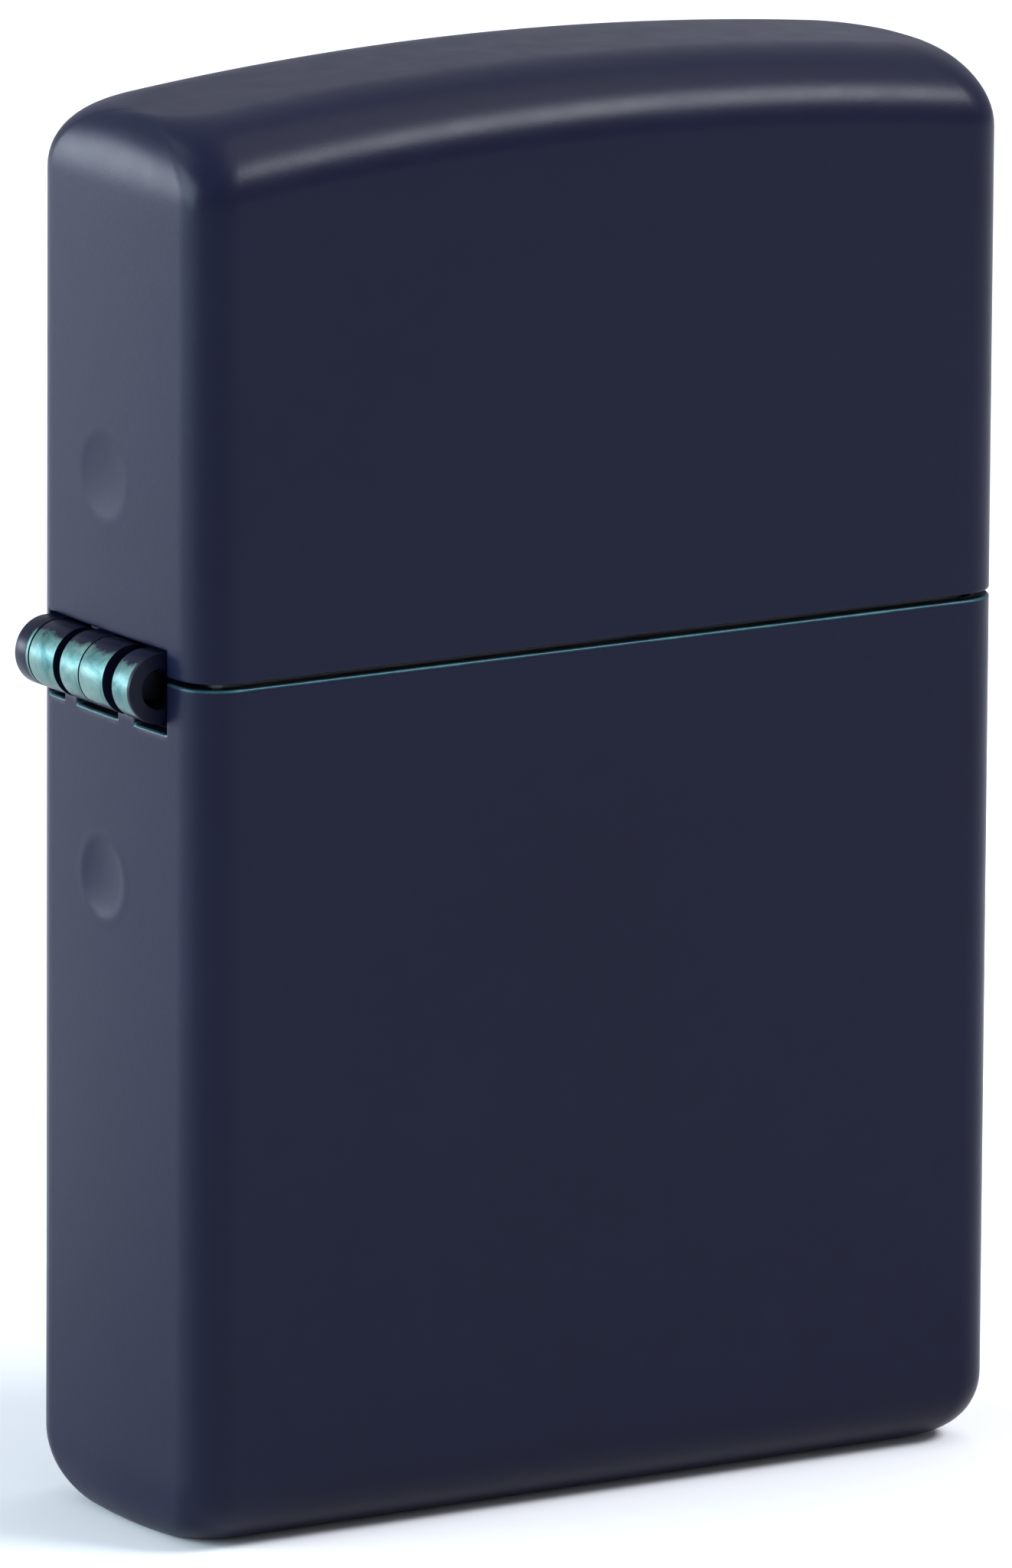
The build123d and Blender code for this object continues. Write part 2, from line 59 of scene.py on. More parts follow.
# ------------------------------------------------------------------ node helpers
class Mat:
    """A node material with short calls for the nodes used here."""

    def __init__(self, name):
        self.m = bpy.data.materials.new(name)
        self.m.use_nodes = True
        self.nt = self.m.node_tree
        self.nt.nodes.clear()
        self.out = self.add("ShaderNodeOutputMaterial")
        self.p = self.add("ShaderNodeBsdfPrincipled")
        self.link(self.p.outputs[0], self.out.inputs[0])
        self.tc = self.add("ShaderNodeTexCoord").outputs["Object"]

    def add(self, kind, **kw):
        n = self.nt.nodes.new(kind)
        for k, v in kw.items():
            setattr(n, k, v)
        return n

    def link(self, a, b):
        self.nt.links.new(a, b)

    def set(self, **kw):
        for k, v in kw.items():
            self.p.inputs[k.replace("_", " ")].default_value = v

    def mapping(self, scale=(1, 1, 1), rot=(0, 0, 0), loc=(0, 0, 0), src=None):
        n = self.add("ShaderNodeMapping")
        n.inputs["Scale"].default_value = scale
        n.inputs["Rotation"].default_value = rot
        n.inputs["Location"].default_value = loc
        self.link(src or self.tc, n.inputs["Vector"])
        return n.outputs[0]

    def noise(self, scale, detail=3.0, rough=0.55, vec=None, distort=0.0):
        n = self.add("ShaderNodeTexNoise")
        n.inputs["Scale"].default_value = scale
        n.inputs["Detail"].default_value = detail
        n.inputs["Roughness"].default_value = rough
        n.inputs["Distortion"].default_value = distort
        self.link(vec or self.tc, n.inputs["Vector"])
        return n.outputs[0]

    def ramp(self, fac, stops, interp="LINEAR"):
        n = self.add("ShaderNodeValToRGB")
        n.color_ramp.interpolation = interp
        el = n.color_ramp.elements
        while len(el) < len(stops):
            el.new(0.5)
        for e, (pos, col) in zip(el, stops):
            e.position = pos
            e.color = (*col, 1) if len(col) == 3 else col
        self.link(fac, n.inputs[0])
        return n.outputs[0]

    def map(self, value, a, b, c, d):
        n = self.add("ShaderNodeMapRange")
        for i, v in enumerate((a, b, c, d)):
            n.inputs[i + 1].default_value = v
        self.link(value, n.inputs[0])
        return n.outputs[0]

    def math(self, op, a, b=None, clamp=False):
        n = self.add("ShaderNodeMath", operation=op, use_clamp=clamp)
        for i, v in enumerate((a, b)):
            if v is None:
                continue
            if isinstance(v, (int, float)):
                n.inputs[i].default_value = v
            else:
                self.link(v, n.inputs[i])
        return n.outputs[0]

    def mix(self, fac, a, b):
        n = self.add("ShaderNodeMix", data_type="RGBA")
        if isinstance(fac, (int, float)):
            n.inputs[0].default_value = fac
        else:
            self.link(fac, n.inputs[0])
        for i, v in ((6, a), (7, b)):
            if isinstance(v, tuple):
                n.inputs[i].default_value = (*v, 1) if len(v) == 3 else v
            else:
                self.link(v, n.inputs[i])
        return n.outputs[2]

    def sep(self, src=None):
        n = self.add("ShaderNodeSeparateXYZ")
        self.link(src or self.tc, n.inputs[0])
        return n.outputs

    def bump(self, height, strength, distance, prev=None):
        n = self.add("ShaderNodeBump")
        n.inputs["Strength"].default_value = strength
        n.inputs["Distance"].default_value = distance
        self.link(height, n.inputs["Height"])
        if prev is not None:
            self.link(prev, n.inputs["Normal"])
        return n.outputs[0]

    def to(self, name, src):
        self.link(src, self.p.inputs[name])


# ------------------------------------------------------------------ materials
def paint_mat():
    m = Mat("navy_paint")
    m.set(Metallic=0.0, IOR=1.5, Specular_IOR_Level=0.105)
    cloud = m.noise(55, 3, 0.6)
    fine = m.noise(900, 2, 0.6)
    col = m.ramp(m.math("ADD", m.math("MULTIPLY", cloud, 0.7), m.math("MULTIPLY", fine, 0.3)),
                 [(0.30, (0.0043, 0.0053, 0.0168)), (0.55, (0.0050, 0.0061, 0.0188)), (0.75, (0.0058, 0.0069, 0.0210))])
    m.to("Base Color", col)
    m.to("Roughness", m.map(m.noise(700, 2, 0.5), 0.3, 0.7, 0.325, 0.365))
    b = m.bump(m.noise(3200, 2, 0.5), 0.30, 0.000010)
    m.to("Normal", m.bump(m.noise(11000, 2, 0.6), 0.45, 0.000006, b))
    return m.m


# near-black for the wall's cut faces at the rims and windows: dark paint, darkened further as painted shade so that the
# seam gap reads black
def cut_edge_shade_mat():
    m = Mat("dark_cut_edge")
    m.set(Specular_IOR_Level=0.08)
    n = m.noise(900, 3, 0.6)
    m.to("Base Color", m.ramp(n, [(0.3, (0.0012, 0.0016, 0.004)), (0.7, (0.0028, 0.0036, 0.008))]))
    m.to("Roughness", m.map(n, 0.3, 0.7, 0.45, 0.6))
    m.to("Normal", m.bump(m.noise(1800, 2), 0.2, 0.00001))
    return m.m


def rim_mat():
    m = Mat("teal_rim")
    m.set(Metallic=0.35, IOR=1.5, Specular_IOR_Level=0.12)
    n = m.noise(700, 3, 0.6)
    m.to("Base Color", m.ramp(n, [(0.3, (0.007, 0.026, 0.034)), (0.5, (0.014, 0.045, 0.056)), (0.75, (0.030, 0.085, 0.095))]))
    m.to("Roughness", m.map(n, 0.3, 0.7, 0.28, 0.42))
    m.to("Normal", m.bump(m.noise(1800, 2), 0.2, 0.00001))
    return m.m


def inner_mat():
    m = Mat("case_inside_metal")
    m.set(Metallic=1.0)
    n = m.noise(60, 4, 0.6)
    streak = m.noise(900, 3, 0.6, m.mapping(scale=(1, 1, 0.05)))
    z = m.sep()[2]
    teal = m.map(m.math("ABSOLUTE", m.math("SUBTRACT", z, 0.0345)), 0.0, 0.0015, 0.35, 0.0)
    col = m.ramp(n, [(0.3, (0.40, 0.41, 0.41)), (0.7, (0.56, 0.56, 0.54))])
    m.to("Base Color", m.mix(teal, col, (0.16, 0.40, 0.42)))
    m.to("Roughness", m.map(streak, 0.3, 0.7, 0.26, 0.44))
    m.to("Normal", m.bump(streak, 0.25, 0.00001))
    return m.m


def hinge_mat():
    """Teal-tinted metal in a band round the outward face of the barrel, partly rubbed bare metal and partly a painted
    highlight where the lamps reflect; paint on its back, top and ends.
    """
    m = Mat("hinge_teal_metal")
    m.set(Specular_IOR_Level=0.12)
    s = m.sep()
    far = m.map(s[1], 0.00405, 0.00415, 1.0, 0.0)
    dx = m.math("SUBTRACT", s[0], HX * MM)
    dz = m.math("SUBTRACT", s[2], HZ * MM)
    ang = m.math("ARCTAN2", dz, m.math("MULTIPLY", dx, -1.0))     # 0 outward, +pi/2 top
    ragged = m.math("MULTIPLY", m.math("SUBTRACT", m.noise(1100, 4, 0.65), 0.5), 0.9)
    # band round the outward face of the barrel, set by the angle round the pin with a ragged edge: partly rubbed bare
    # metal, partly a painted highlight of the lamps
    a = m.math("ADD", ang, ragged)
    top = m.map(a, 0.72, 0.92, 1.0, 0.0)
    low = m.map(a, -0.95, -0.72, 0.0, 1.0)
    rad = m.math("SQRT", m.math("ADD", m.math("MULTIPLY", dx, dx), m.math("MULTIPLY", dz, dz)))
    out = m.map(rad, 0.00131, 0.00135, 0.0, 1.0)
    geo = m.add("ShaderNodeNewGeometry")
    ny = m.math("ABSOLUTE", m.sep(geo.outputs["Normal"])[1])
    side = m.map(ny, 0.35, 0.6, 1.0, 0.0)
    ends = m.math("MULTIPLY", far, m.map(s[1], -0.00362, -0.00354, 0.0, 1.0))
    bare_and_highlight_band = m.math("MULTIPLY", m.math("MULTIPLY", m.math("MULTIPLY", top, low), ends), m.math("MULTIPLY", out, side), clamp=True)
    mott = m.noise(850, 5, 0.65, distort=0.6)
    teal = m.ramp(mott, [(0.28, (0.022, 0.085, 0.088)), (0.45, (0.064, 0.145, 0.138)), (0.62, (0.118, 0.200, 0.180)), (0.8, (0.078, 0.158, 0.148))])
    pn = m.ramp(m.noise(300, 3), [(0.3, (0.0030, 0.0038, 0.012)), (0.7, (0.0046, 0.0056, 0.017))])
    m.to("Base Color", m.mix(bare_and_highlight_band, pn, teal))
    m.to("Metallic", m.math("MULTIPLY", bare_and_highlight_band, 0.75))
    m.to("Roughness", m.map(bare_and_highlight_band, 0, 1, 0.34, 0.42))
    skin = m.math("ADD", m.math("MULTIPLY", mott, bare_and_highlight_band), m.math("MULTIPLY", m.math("SUBTRACT", 1.0, bare_and_highlight_band), 0.8))
    b = m.bump(skin, 0.5, 0.00004)
    b = m.bump(m.noise(4200, 2, 0.5), 0.3, 0.00001, b)
    m.to("Normal", b)
    return m.m


def steel_mat(name, base=(0.62, 0.62, 0.61), rough=0.28, axis=0, scale=900, warm=0.0):
    """Brushed sheet metal; the brushing runs along axis."""
    m = Mat(name)
    m.set(Metallic=1.0)
    sc = [1.0, 1.0, 1.0]
    sc[axis] = 0.03
    brush = m.noise(scale * 3.2, 2, 0.5, m.mapping(scale=tuple(sc)))
    blot = m.noise(45, 4, 0.6)
    b0 = tuple(c * 0.88 for c in base)
    col = m.ramp(m.math("ADD", m.math("MULTIPLY", brush, 0.5), m.math("MULTIPLY", blot, 0.5)), [(0.32, b0), (0.68, base)])
    m.to("Base Color", col)
    m.to("Roughness", m.map(brush, 0.3, 0.7, rough - 0.07, rough + 0.10))
    m.to("Normal", m.bump(brush, 0.10, 0.000004))
    return m.m


def dark_steel_mat(name, base=(0.24, 0.24, 0.25), rough=0.38):
    m = Mat(name)
    m.set(Metallic=1.0)
    n = m.noise(1400, 4, 0.6)
    m.to("Base Color", m.ramp(n, [(0.3, tuple(c * 0.6 for c in base)), (0.7, base)]))
    m.to("Roughness", m.map(n, 0.3, 0.7, rough - 0.08, rough + 0.12))
    m.to("Normal", m.bump(n, 0.4, 0.00002))
    return m.m


def brass_mat(name="brass", dark=(0.52, 0.36, 0.12), light=(0.76, 0.56, 0.24)):
    m = Mat(name)
    m.set(Metallic=1.0)
    n = m.noise(500, 4, 0.6)
    m.to("Base Color", m.ramp(n, [(0.3, dark), (0.7, light)]))
    m.to("Roughness", m.map(n, 0.3, 0.7, 0.24, 0.42))
    m.to("Normal", m.bump(m.noise(1500, 3), 0.2, 0.00001))
    return m.m


def flint_mat():
    m = Mat("flint_alloy")
    m.set(Metallic=0.5)
    n = m.noise(2200, 5, 0.7)
    m.to("Base Color", m.ramp(n, [(0.3, (0.035, 0.034, 0.032)), (0.7, (0.13, 0.125, 0.12))]))
    m.to("Roughness", m.map(n, 0.3, 0.7, 0.55, 0.8))
    m.to("Normal", m.bump(n, 0.7, 0.00004))
    return m.m


def fibre_mat(name, dark, light, scale, rough=0.9, height=0.00006):
    m = Mat(name)
    m.p.inputs["Sheen Weight"].default_value = 0.3
    m.p.inputs["Sheen Roughness"].default_value = 0.6
    n = m.noise(scale, 6, 0.7, distort=1.2)
    m.to("Base Color", m.ramp(n, [(0.3, dark), (0.7, light)]))
    m.to("Roughness", m.map(n, 0.3, 0.7, rough - 0.08, min(1.0, rough + 0.08)))
    m.to("Normal", m.bump(n, 0.8, height))
    return m.m


PAINT, RIM, INNER, HINGE, CUT_EDGE_SHADE = paint_mat(), rim_mat(), inner_mat(), hinge_mat(), cut_edge_shade_mat()
STEEL_X = steel_mat("insert_stainless", base=(0.42, 0.42, 0.415), rough=0.32, axis=0)
STEEL_Z = steel_mat("chimney_stainless", base=(0.44, 0.44, 0.435), rough=0.29, axis=0, scale=1100)
STEEL_P = steel_mat("rivet_steel", base=(0.36, 0.37, 0.39), rough=0.32, axis=1, scale=1600)
# the pin is near black: painted shade, so the bore and the gaps between the knuckles read dark
PIN_DARK_SHADE = dark_steel_mat("painted_pin", base=(0.020, 0.024, 0.034), rough=0.55)
SPRING = steel_mat("spring_steel", base=(0.55, 0.54, 0.52), rough=0.3, axis=0, scale=1300)
DARK = dark_steel_mat("hardened_steel")
WHEELM = dark_steel_mat("wheel_steel", base=(0.20, 0.20, 0.21), rough=0.42)
BRASS, FLINT = brass_mat(), flint_mat()
COPPER = brass_mat("copper_wire", (0.50, 0.22, 0.12), (0.78, 0.40, 0.26))
COTTON = fibre_mat("wick_cotton", (0.52, 0.48, 0.40), (0.84, 0.81, 0.73), 2400)
RAYON = fibre_mat("rayon", (0.70, 0.69, 0.66), (0.93, 0.92, 0.90), 900, height=0.00015)
FELT = fibre_mat("felt", (0.55, 0.53, 0.48), (0.80, 0.78, 0.72), 1500, height=0.0001)


# ------------------------------------------------------------------ mesh helpers
def to_object(bm, name, mats, body, replaces=(), sharp=35, weighted=True):
    me = bpy.data.meshes.new(name)
    bm.normal_update()
    bm.to_mesh(me)
    bm.free()
    for m in mats:
        me.materials.append(m)
    for p in me.polygons:
        p.use_smooth = True
    me.set_sharp_from_angle(angle=math.radians(sharp))
    ob = bpy.data.objects.new(name, me)
    scene.collection.objects.link(ob)
    if weighted:
        wn = ob.modifiers.new("wn", "WEIGHTED_NORMAL")
        wn.mode = "FACE_AREA"
        wn.weight = 60
        wn.keep_sharp = True
    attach(ob, body)
    if replaces:
        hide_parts(*replaces)
    return ob


def applied(bm, *mods):
    """Run modifiers on a bmesh and give the result back as a bmesh."""
    me = bpy.data.meshes.new("tmp")
    bm.to_mesh(me)
    bm.free()
    for m in (PAINT, INNER, RIM, CUT_EDGE_SHADE):      # slots, so that the modifiers can hand out the numbers
        me.materials.append(m)
    ob = bpy.data.objects.new("tmp", me)
    scene.collection.objects.link(ob)
    for kind, kw in mods:
        md = ob.modifiers.new(kind, kind)
        for k, v in kw.items():
            setattr(md, k, v)
    dg = bpy.context.evaluated_depsgraph_get()
    res = bpy.data.meshes.new_from_object(ob.evaluated_get(dg))
    out = bmesh.new()
    out.from_mesh(res)
    bpy.data.objects.remove(ob)
    bpy.data.meshes.remove(me)
    bpy.data.meshes.remove(res)
    return out


def smooth01(t):
    t = max(0.0, min(1.0, t))
    return t * t * (3 - 2 * t)


# ------------------------------------------------------------------ case halves
def side_lines(lo, hi, must, dense):
    out = set(round(v, 4) for v in must)
    z = lo
    while z < hi:
        step = 0.18 if any(a <= z <= b for a, b in dense) else 0.9
        out.add(round(z, 4))
        z += step
    out |= {round(lo, 4), round(hi, 4)}
    vals = sorted(out)
    keep = [vals[0]]
    musts = {round(v, 4) for v in must} | {round(lo, 4), round(hi, 4)}
    for v in vals[1:]:
        if v - keep[-1] < 0.15:
            if v in musts:
                if keep[-1] in musts:
                    keep.append(v)
                else:
                    keep[-1] = v
            continue
        keep.append(v)
    return keep


Y_FLAT = T2 - RV
CUTS = {WIN_Y0, WIN_Y1, *(v for n in NOTCHES for v in n)}
Y_LINES = side_lines(-Y_FLAT, Y_FLAT, sorted(v for v in CUTS if abs(v) < Y_FLAT), [(-10, 10)])
# the window runs a little way round the far upright edge
FAR_CUT = math.pi - math.asin((WIN_Y1 - Y_FLAT) / RV)


def plan_outline(hx=W2, hy=T2, r=RV):
    """Rounded rectangle, counter-clockwise from the front left corner; the hinge side is finely divided."""
    o = []
    n = 12
    nx = 44
    x1, y1 = hx - r, hy - r

    def arc(cx, cy, a0):
        angles = [a0 + math.pi / 2 * i / n for i in range(n + 1)]
        near = min(range(n + 1), key=lambda i: abs(angles[i] - FAR_CUT))
        if a0 <= FAR_CUT <= a0 + math.pi / 2:
            angles[near] = FAR_CUT
        return [(cx + r * math.cos(t), cy + r * math.sin(t)) for t in angles]

    o += arc(-x1, -y1, math.pi)                                            # hinge side to front
    o += [(-x1 + 2 * x1 * i / nx, -hy) for i in range(1, nx)]
    o += arc(x1, -y1, -math.pi / 2)
    o += [(hx, -y1 + 2 * y1 * i / 8) for i in range(1, 8)]
    o += arc(x1, y1, 0.0)
    o += [(x1 - 2 * x1 * i / nx, hy) for i in range(1, nx)]
    o += arc(-x1, y1, math.pi / 2)
    o += [(-hx - BULGE * (1 - (y / Y_FLAT) ** 2), y * y1 / Y_FLAT) for y in reversed(Y_LINES[1:-1])]
    return o


def dent(y, z):
    d = 0.0
    for dy, dz, depth, rad, soft in DENTS:
        r = math.hypot(y - dy, z - dz) / rad
        if r < 1 + soft:
            bowl = max(0.0, 1 - (r / (1 + 0.25 * soft)) ** 2)
            d += depth * (bowl ** (1.0 + 0.6 * soft))
            d -= 0.018 * math.exp(-((r - 1.06) / 0.14) ** 2) * (1 - 0.6 * soft)
    return d


def half_rings(lid):
    """Rings of (x, y, z) from the rim to the edge of the flat end, the rounding being elliptical."""
    o = plan_outline()
    rings = []
    if lid:
        zs = side_lines(RIM_LID, 46.0, [LID_WIN], [(34.6, 36.4), (38.4, 45.0)])
    else:
        zs = list(reversed(side_lines(BZ, RIM_BASE, [BASE_WIN, NOTCH], [(22.6, 29.2), (31.6, 34.4)])))
    for z in zs:
        rings.append([(x + (dent(y, z) if x < -W2 + 1e-6 else 0.0), y, z) for x, y in o])
    n = 16
    if lid:
        start = [H - CROWN * (x / W2) ** 2 - TZ for x, y in o]
        for k in range(1, 8):
            rings.append([(x, y, 46.0 + (z0 - 46.0) * k / 8) for (x, y), z0 in zip(o, start)])
    for k in range(0 if lid else 1, n + 1):
        p = math.pi / 2 * k / n
        c = 1 - math.cos(p)
        rx, ry, rz, rp = (TX, TY, TZ, TR) if lid else (BX, BY, BZ, BR)
        ring = []
        for xx, yy in plan_outline(W2 - rx * c, T2 - ry * c, RV + (rp - RV) * c):
            if lid:
                ring.append((xx, yy, H - CROWN * (xx / W2) ** 2 - rz * (1 - math.sin(p))))
            else:
                ring.append((xx, yy, rz * (1 - math.sin(p))))
        rings.append(ring)
    return rings


def build_half(lid, name, body, node, is_open):
    bm = bmesh.new()
    rings = half_rings(lid)
    rows = [[bm.verts.new(p) for p in r] for r in rings]
    n = len(rows[0])
    for i in range(len(rows) - 1):
        for j in range(n):
            k = (j + 1) % n
            q = (rows[i][j], rows[i][k], rows[i + 1][k], rows[i + 1][j])
            if all(v.co.x < -W2 + 0.4 for v in q):
                if is_open(sum(v.co.y for v in q) / 4, sum(v.co.z for v in q) / 4):
                    continue
            bm.faces.new(q)
    last = rows[-1]
    # flat end: strips across, front row to back row, with an end piece on each side
    na, nx = 13, 44
    f0, f1 = na - 1, na - 1 + nx                     # front row, from the hinge side
    b0 = f1 + (na - 1) + 8 + (na - 1)                # back row starts at the far side
    front = [last[f0 + i] for i in range(nx + 1)]
    backr = [last[b0 + nx - i] for i in range(nx + 1)]
    m = 6
    inner = []
    for i in range(nx + 1):
        col = [front[i]]
        for t in range(1, m):
            col.append(bm.verts.new(front[i].co.lerp(backr[i].co, t / m)))
        col.append(backr[i])
        inner.append(col)
    for i in range(nx):
        for t in range(m):
            bm.faces.new((inner[i][t], inner[i + 1][t], inner[i + 1][t + 1], inner[i][t + 1]))
    bm.faces.new([last[k % n] for k in range(b0 + nx, n + f0 + 1)] + inner[0][1:m])
    bm.faces.new([last[k] for k in range(f1, b0 + 1)] + list(reversed(inner[nx][1:m])))
    for v in [v for v in bm.verts if not v.link_faces]:
        bm.verts.remove(v)
    bmesh.ops.recalc_face_normals(bm, faces=bm.faces)
    ref = max(bm.faces, key=lambda f: abs(f.normal.y) * f.calc_area())
    if ref.normal.y * ref.calc_center_median().y < 0:
        bmesh.ops.reverse_faces(bm, faces=bm.faces)
    for f in bm.faces:
        f.material_index = 0
    # the wall's cut faces at the rims and window edges take the near-black cut-edge material, which is partly painted
    # shade
    bm = applied(bm, ("SOLIDIFY", dict(thickness=WALL, offset=-1.0, use_even_offset=True, use_quality_normals=True,
                                       material_offset=1, material_offset_rim=3)))
    # round the rims and the window edges
    bm.normal_update()
    sharp = [e for e in bm.edges if len(e.link_faces) == 2 and e.calc_face_angle(0.0) > math.radians(60)]
    bmesh.ops.bevel(bm, geom=sharp, offset=0.10, offset_type="OFFSET", segments=3, profile=0.5, affect="EDGES",
                    clamp_overlap=False, material=2)
    # bare metal shows only on the level edges of the lower half; the other edges are painted over
    bm.normal_update()
    for f in bm.faces:
        if f.material_index == 2 and (lid or abs(f.normal.z) < 0.25):
            f.material_index = 0
    bmesh.ops.scale(bm, vec=(MM, MM, MM), verts=bm.verts)
    return to_object(bm, name, [PAINT, INNER, RIM, CUT_EDGE_SHADE], body, (node,))


def base_open(y, z):
    if z > BASE_WIN and WIN_Y0 < y < WIN_Y1:
        return True
    return z > NOTCH and any(a < y < b for a, b in NOTCHES)


def lid_open(y, z):
    return z < LID_WIN and WIN_Y0 < y < WIN_Y1


build_half(False, "case_bottom_shell", "base", "case_bottom", base_open)
build_half(True, "case_lid_shell", "lid", "case_lid", lid_open)


# ------------------------------------------------------------------ hinge
def prism(bm, outline, y0, y1):
    """Closed solid: an XZ outline (counter-clockwise seen from the front) between two y planes."""
    a = [bm.verts.new((x, y0, z)) for x, z in outline]
    b = [bm.verts.new((x, y1, z)) for x, z in outline]
    faces = [bm.faces.new(a), bm.faces.new(list(reversed(b)))]
    n = len(outline)
    for i in range(n):
        j = (i + 1) % n
        faces.append(bm.faces.new((a[j], a[i], b[i], b[j])))
    return faces


def bevel_sharp(bm, offset, segments=3, angle=50):
    bm.normal_update()
    es = [e for e in bm.edges if len(e.link_faces) == 2 and e.calc_face_angle(0.0) > math.radians(angle)]
    bmesh.ops.bevel(bm, geom=es, offset=offset, offset_type="OFFSET", segments=segments, profile=0.5,
                    affect="EDGES", clamp_overlap=True)


def knuckle_outline(up, r_in, neck_to, n=72):
    """Rolled sheet seen along the pin: outer roll, inner roll and the flat neck towards the wall."""
    s = 1 if up else -1
    a_end = math.radians(390)
    pts = []
    for i in range(n + 1):
        a = math.pi / 2 + (a_end - math.pi / 2) * i / n
        pts.append((HX + BARREL_R * math.cos(a), HZ + s * BARREL_R * math.sin(a)))
    for i in range(n + 1):
        a = a_end + (math.pi / 2 - a_end) * i / n
        pts.append((HX + r_in * math.cos(a), HZ + s * r_in * math.sin(a)))
    pts.append((neck_to, HZ + s * r_in))
    pts.append((neck_to, HZ + s * BARREL_R))
    return pts if up else list(reversed(pts))


def ring_outline(bm, r_in, y0, y1, n=96):
    """A plain rolled barrel piece, closed all round."""
    loops = []
    for y, r in ((y0, BARREL_R), (y1, BARREL_R), (y1, r_in), (y0, r_in)):
        loops.append([bm.verts.new((HX + r * math.cos(2 * math.pi * i / n), y, HZ + r * math.sin(2 * math.pi * i / n))) for i in range(n)])
    for k in range(4):
        a, b = loops[k], loops[(k + 1) % 4]
        for i in range(n):
            j = (i + 1) % n
            bm.faces.new((a[i], a[j], b[j], b[i]))


def plate_solid(bm, outline, x0, x1):
    a = [bm.verts.new((x0, y, z)) for y, z in outline]
    b = [bm.verts.new((x1, y, z)) for y, z in outline]
    bm.faces.new(a)
    bm.faces.new(list(reversed(b)))
    n = len(outline)
    for i in range(n):
        j = (i + 1) % n
        bm.faces.new((a[j], a[i], b[i], b[j]))


def union(bms):
    """Boolean union of closed bmeshes."""
    objs = []
    for k, bm in enumerate(bms):
        bmesh.ops.recalc_face_normals(bm, faces=bm.faces)
        me = bpy.data.meshes.new("u%d" % k)
        bm.to_mesh(me)
        bm.free()
        ob = bpy.data.objects.new("u%d" % k, me)
        scene.collection.objects.link(ob)
        objs.append(ob)
    base = objs[0]
    for o in objs[1:]:
        md = base.modifiers.new("b", "BOOLEAN")
        md.operation = "UNION"
        md.solver = "EXACT"
        md.object = o
    dg = bpy.context.evaluated_depsgraph_get()
    res = bpy.data.meshes.new_from_object(base.evaluated_get(dg))
    out = bmesh.new()
    out.from_mesh(res)
    for o in objs:
        me = o.data
        bpy.data.objects.remove(o)
        bpy.data.meshes.remove(me)
    bpy.data.meshes.remove(res)
    bmesh.ops.remove_doubles(out, verts=out.verts, dist=1e-4)
    bmesh.ops.dissolve_limit(out, angle_limit=math.radians(0.4), verts=out.verts, edges=out.edges)
    return out


LEAF = 0.6
WALL_IN = -W2 + WALL
PLATE_IN = WALL_IN + LEAF
PL0, PL1 = -3.7, 4.4            # leaf plates, in y
LID_KN = [(3.95, 4.95), (0.13, 1.53), (-3.77, -2.43)]
BASE_KN = [(2.03, 3.85), (-1.72, 0.04)]
BASE_NECK = [(2.80, 3.68), (-1.60, -0.48)]


def lid_leaf():
    parts = []
    bm = bmesh.new()
    z_top = 43.6
    lo, cut = HZ + 0.8, 35.77
    pts = [(PL0, lo), (-2.43, lo), (-2.43, cut), (0.13, cut), (0.13, lo), (1.53, lo), (1.53, cut), (3.95, cut), (3.95, lo), (PL1, lo)]
    n = 8
    pts += [(PL1 - 1.2 + 1.2 * math.cos(t), z_top - 1.2 + 1.2 * math.sin(t)) for t in [math.pi / 2 * i / n for i in range(n + 1)]]
    pts += [(PL0 + 1.2 - 1.2 * math.sin(t), z_top - 1.2 + 1.2 * math.cos(t)) for t in [math.pi / 2 * i / n for i in range(n + 1)]]
    plate_solid(bm, pts, WALL_IN, PLATE_IN)
    parts.append(bm)
    for y0, y1 in LID_KN:
        k = bmesh.new()
        prism(k, knuckle_outline(True, 0.80, WALL_IN + 0.3), y0, y1)
        parts.append(k)
    # tongue that pushes the cam
    t = bmesh.new()
    prism(t, [(PLATE_IN - 0.3, 36.1), (-16.0, 36.1), (-16.0, 36.6), (PLATE_IN - 0.3, 36.6)], -1.5, 1.5)
    parts.append(t)
    bm = union(parts)
    bevel_sharp(bm, 0.07, 3)
    bmesh.ops.scale(bm, vec=(MM, MM, MM), verts=bm.verts)
    return to_object(bm, "hinge_leaf_upper", [HINGE], "lid", ("hinge_leaf_lid",))


